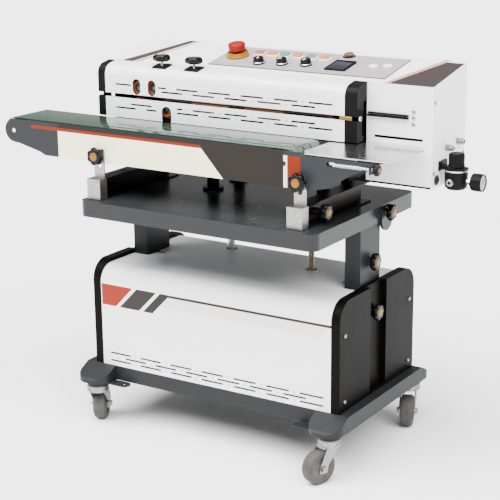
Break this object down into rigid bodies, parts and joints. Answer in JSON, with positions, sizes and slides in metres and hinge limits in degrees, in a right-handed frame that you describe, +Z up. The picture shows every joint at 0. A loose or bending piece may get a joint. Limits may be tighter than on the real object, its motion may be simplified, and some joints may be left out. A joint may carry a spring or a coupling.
{
  "type": "continuous band sealer",
  "caption": "Floor-standing continuous band sealer: film sealing head over a belt conveyor, on a height-adjustable tray above a closed cabinet with swivel casters.",
  "frame": {"origin": "middle of the bounding box footprint, on the floor", "axes": "+X to the operator's right along the belt, +Y to the back, +Z up; the front faces -Y"},
  "size_m": [1.104, 0.52, 0.8876],
  "materials": {
    "cabinet_white": "satin white powder coat",
    "panel_black": "fine textured black paint",
    "base_grey": "dark grey paint",
    "column_grey": "dark grey paint",
    "tray_grey": "dark grey satin paint",
    "rail_dark": "black-brown paint",
    "zinc": "zinc plated",
    "lift_rod": "yellow passivated thread",
    "guide_steel": "bare steel",
    "pump_paint": "painted casting",
    "wheel_tread": "light grey nylon",
    "hose_plastic": "white conduit and clear hose",
    "head_white": "satin white powder coat",
    "cap_black": "moulded black plastic",
    "panel_lilac": "printed lilac-grey panel",
    "instruments": "yellow, black and coloured plastics",
    "regulator_grey": "painted die casting with plated fittings",
    "heater_copper": "copper and aluminium blocks",
    "motor_grey": "painted",
    "band_brown": "PTFE coated glass band",
    "silicone_orange": "orange silicone on metal hub",
    "knob_black": "black phenolic with amber cap",
    "estop_red": "red",
    "dial_black": "black with silver pointer",
    "button_brown": "dark brown",
    "skirt_grey": "printed skirt on grey steel",
    "belt_green": "smooth dark belt",
    "roller_steel": "turned steel",
    "table_steel": "polished stainless sheet"
  },
  "bodies": {
    "cabinet": {"base_frame": "base_grey", "front_cover": "cabinet_white", "rear_cover": "cabinet_white", "side_panel_right": "panel_black", "side_panel_left": "panel_black", "panel_screws": "zinc", "lift_guides": "guide_steel", "air_pump": "pump_paint"},
    "lift": {"lift_columns": "column_grey", "tray": "tray_grey", "lift_screw": "lift_rod", "air_hose": "hose_plastic", "slide_rails": "rail_dark", "head_chassis": "column_grey", "head_housing": "head_white", "head_back_cover": "head_white", "guard_upper": "head_white", "guard_lower": "head_white", "guard_caps": "cap_black", "control_panel": "panel_lilac", "panel_instruments": "instruments", "head_fittings": "regulator_grey", "sealing_blocks": "heater_copper", "drive_motor": "motor_grey", "seal_bands": "band_brown"},
    "slides": {"slide_brackets": "zinc"},
    "conveyor": {"conveyor_frame": "skirt_grey", "conveyor_belt": "belt_green"},
    "table": {"side_table": "table_steel"},
    "fork_fr": {"caster_fork_fr": "zinc"},
    "wheel_fr": {"caster_wheel_fr": "wheel_tread"},
    "fork_fl": {"caster_fork_fl": "zinc"},
    "wheel_fl": {"caster_wheel_fl": "wheel_tread"},
    "fork_rr": {"caster_fork_rr": "zinc"},
    "wheel_rr": {"caster_wheel_rr": "wheel_tread"},
    "fork_rl": {"caster_fork_rl": "zinc"},
    "wheel_rl": {"caster_wheel_rl": "wheel_tread"},
    "band_wheel_lower_right": {"band_wheel_lower_right": "silicone_orange"},
    "band_wheel_upper_right": {"band_wheel_upper_right": "silicone_orange"},
    "band_wheel_upper_left": {"band_wheel_upper_left": "silicone_orange"},
    "band_wheel_lower_left": {"band_wheel_lower_left": "silicone_orange"},
    "press_wheel_upper": {"press_wheel_upper": "silicone_orange"},
    "press_wheel_lower": {"press_wheel_lower": "silicone_orange"},
    "belt_roller_left": {"belt_roller_left": "roller_steel"},
    "belt_roller_right": {"belt_roller_right": "roller_steel"},
    "pressure_knob_left": {"pressure_knob_left": "knob_black"},
    "pressure_knob_right": {"pressure_knob_right": "knob_black"},
    "estop_button": {"estop_button": "estop_red"},
    "dial_knob_1": {"dial_knob_1": "dial_black"},
    "dial_knob_2": {"dial_knob_2": "dial_black"},
    "dial_knob_3": {"dial_knob_3": "dial_black"},
    "round_button": {"round_button": "button_brown"},
    "regulator_knob": {"regulator_knob": "knob_black"},
    "knob_front_left": {"knob_front_left": "knob_black"},
    "knob_front_right": {"knob_front_right": "knob_black"},
    "knob_rail": {"knob_rail": "knob_black"},
    "knob_column": {"knob_column": "knob_black"},
    "knob_panel": {"knob_panel": "knob_black"},
    "knob_tray": {"knob_tray": "knob_black"},
    "knob_table": {"knob_table": "knob_black"}
  },
  "joints": [
    {"name": "lift_slide", "type": "slide", "parent": "cabinet", "child": "lift", "axis": [0, 0, 1], "range_m": [-0.02, 0.1]},
    {"name": "conveyor_shift", "type": "slide", "parent": "lift", "child": "slides", "axis": [0, 1, 0], "range_m": [-0.06, 0]},
    {"name": "conveyor_height", "type": "slide", "parent": "slides", "child": "conveyor", "axis": [0, 0, 1], "range_m": [-0.02, 0.001]},
    {"name": "table_slide", "type": "slide", "parent": "conveyor", "child": "table", "axis": [1, 0, 0], "range_m": [0, 0.03]},
    {"name": "swivel_fr", "type": "hinge", "parent": "cabinet", "child": "fork_fr", "pos_m": [0.312, -0.192, 0.09], "axis": [0, 0, 1], "continuous": true},
    {"name": "spin_fr", "type": "hinge", "parent": "fork_fr", "child": "wheel_fr", "pos_m": [0.30115, -0.21997, 0.0375], "axis": [0.9323, -0.3616, 0], "continuous": true},
    {"name": "swivel_fl", "type": "hinge", "parent": "cabinet", "child": "fork_fl", "pos_m": [-0.312, -0.192, 0.09], "axis": [0, 0, 1], "continuous": true},
    {"name": "spin_fl", "type": "hinge", "parent": "fork_fl", "child": "wheel_fl", "pos_m": [-0.32458, -0.16477, 0.0375], "axis": [-0.9078, -0.4195, 0], "continuous": true},
    {"name": "swivel_rr", "type": "hinge", "parent": "cabinet", "child": "fork_rr", "pos_m": [0.312, 0.192, 0.09], "axis": [0, 0, 1], "continuous": true},
    {"name": "spin_rr", "type": "hinge", "parent": "fork_rr", "child": "wheel_rr", "pos_m": [0.32192, 0.16369, 0.0375], "axis": [0.9438, 0.3305, 0], "continuous": true},
    {"name": "swivel_rl", "type": "hinge", "parent": "cabinet", "child": "fork_rl", "pos_m": [-0.312, 0.192, 0.09], "axis": [0, 0, 1], "continuous": true},
    {"name": "spin_rl", "type": "hinge", "parent": "fork_rl", "child": "wheel_rl", "pos_m": [-0.30115, 0.21997, 0.0375], "axis": [-0.9323, 0.3616, 0], "continuous": true},
    {"name": "band_wheel_lower_right_spin", "type": "hinge", "parent": "lift", "child": "band_wheel_lower_right", "pos_m": [0.235, -0.048, 0.7399], "axis": [0, 1, 0], "continuous": true},
    {"name": "band_wheel_upper_right_spin", "type": "hinge", "parent": "lift", "child": "band_wheel_upper_right", "pos_m": [0.235, -0.048, 0.7841], "axis": [0, 1, 0], "continuous": true},
    {"name": "band_wheel_upper_left_spin", "type": "hinge", "parent": "lift", "child": "band_wheel_upper_left", "pos_m": [-0.2225, -0.048, 0.7841], "axis": [0, 1, 0], "continuous": true},
    {"name": "band_wheel_lower_left_spin", "type": "hinge", "parent": "lift", "child": "band_wheel_lower_left", "pos_m": [-0.19, -0.048, 0.7399], "axis": [0, 1, 0], "continuous": true},
    {"name": "press_wheel_upper_spin", "type": "hinge", "parent": "lift", "child": "press_wheel_upper", "pos_m": [-0.265, -0.048, 0.781], "axis": [0, 1, 0], "continuous": true},
    {"name": "press_wheel_lower_spin", "type": "hinge", "parent": "lift", "child": "press_wheel_lower", "pos_m": [-0.265, -0.048, 0.743], "axis": [0, 1, 0], "continuous": true},
    {"name": "belt_roller_left_spin", "type": "hinge", "parent": "conveyor", "child": "belt_roller_left", "pos_m": [-0.522, -0.137, 0.683], "axis": [0, 1, 0], "continuous": true},
    {"name": "belt_roller_right_spin", "type": "hinge", "parent": "conveyor", "child": "belt_roller_right", "pos_m": [0.205, -0.137, 0.683], "axis": [0, 1, 0], "continuous": true},
    {"name": "pressure_knob_left_turn", "type": "hinge", "parent": "lift", "child": "pressure_knob_left", "pos_m": [-0.21, -0.043, 0.83247], "axis": [0, 0, 1], "range_deg": [-150, 150]},
    {"name": "pressure_knob_right_turn", "type": "hinge", "parent": "lift", "child": "pressure_knob_right", "pos_m": [-0.122, -0.043, 0.83247], "axis": [0, 0, 1], "range_deg": [-150, 150]},
    {"name": "estop_press", "type": "slide", "parent": "lift", "child": "estop_button", "axis": [0, -0.1925, 0.9813], "range_m": [-0.006, 0], "stiffness_N_per_m": 1200, "springref_m": 0.002},
    {"name": "dial_knob_1_turn", "type": "hinge", "parent": "lift", "child": "dial_knob_1", "pos_m": [0.008, 0.022, 0.84522], "axis": [0, -0.1925, 0.9813], "range_deg": [-140, 140]},
    {"name": "dial_knob_2_turn", "type": "hinge", "parent": "lift", "child": "dial_knob_2", "pos_m": [0.064, 0.028, 0.8464], "axis": [0, -0.1925, 0.9813], "range_deg": [-140, 140]},
    {"name": "dial_knob_3_turn", "type": "hinge", "parent": "lift", "child": "dial_knob_3", "pos_m": [0.122, 0.034, 0.84757], "axis": [0, -0.1925, 0.9813], "range_deg": [-140, 140]},
    {"name": "round_button_press", "type": "slide", "parent": "lift", "child": "round_button", "axis": [0, -0.1925, 0.9813], "range_m": [-0.003, 0], "stiffness_N_per_m": 800, "springref_m": 0.002},
    {"name": "regulator_turn", "type": "hinge", "parent": "lift", "child": "regulator_knob", "pos_m": [0.49, 0.025, 0.68], "axis": [0, 0, 1], "range_deg": [-150, 150]},
    {"name": "knob_front_left_turn", "type": "hinge", "parent": "conveyor", "child": "knob_front_left", "pos_m": [-0.274, -0.21, 0.65], "axis": [0, -1, 0], "range_deg": [-135, 135]},
    {"name": "knob_front_right_turn", "type": "hinge", "parent": "conveyor", "child": "knob_front_right", "pos_m": [0.2455, -0.21, 0.65], "axis": [0, -1, 0], "range_deg": [-135, 135]},
    {"name": "knob_rail_turn", "type": "hinge", "parent": "slides", "child": "knob_rail", "pos_m": [0.26, -0.152, 0.578], "axis": [1, 0, 0], "range_deg": [-135, 135]},
    {"name": "knob_column_turn", "type": "hinge", "parent": "lift", "child": "knob_column", "pos_m": [0.31, 0, 0.44], "axis": [1, 0, 0], "range_deg": [-135, 135]},
    {"name": "knob_panel_turn", "type": "hinge", "parent": "cabinet", "child": "knob_panel", "pos_m": [0.32, 0, 0.326], "axis": [1, 0, 0], "range_deg": [-135, 135]},
    {"name": "knob_tray_turn", "type": "hinge", "parent": "lift", "child": "knob_tray", "pos_m": [0.315, 0.062, 0.538], "axis": [1, 0, 0], "range_deg": [-135, 135]},
    {"name": "knob_table_turn", "type": "hinge", "parent": "conveyor", "child": "knob_table", "pos_m": [0.415, -0.19825, 0.692], "axis": [1, 0, 0], "range_deg": [-135, 135]}
  ],
  "couplings": [
    {"joint": "band_wheel_upper_right_spin", "follows": "band_wheel_lower_right_spin", "ratio": -1},
    {"joint": "band_wheel_upper_left_spin", "follows": "band_wheel_lower_right_spin", "ratio": -1},
    {"joint": "band_wheel_lower_left_spin", "follows": "band_wheel_lower_right_spin", "ratio": 1},
    {"joint": "press_wheel_upper_spin", "follows": "band_wheel_lower_right_spin", "ratio": -1.1111},
    {"joint": "press_wheel_lower_spin", "follows": "band_wheel_lower_right_spin", "ratio": 1.1111},
    {"joint": "belt_roller_left_spin", "follows": "band_wheel_lower_right_spin", "ratio": 0.725},
    {"joint": "belt_roller_right_spin", "follows": "band_wheel_lower_right_spin", "ratio": 0.725}
  ]
}
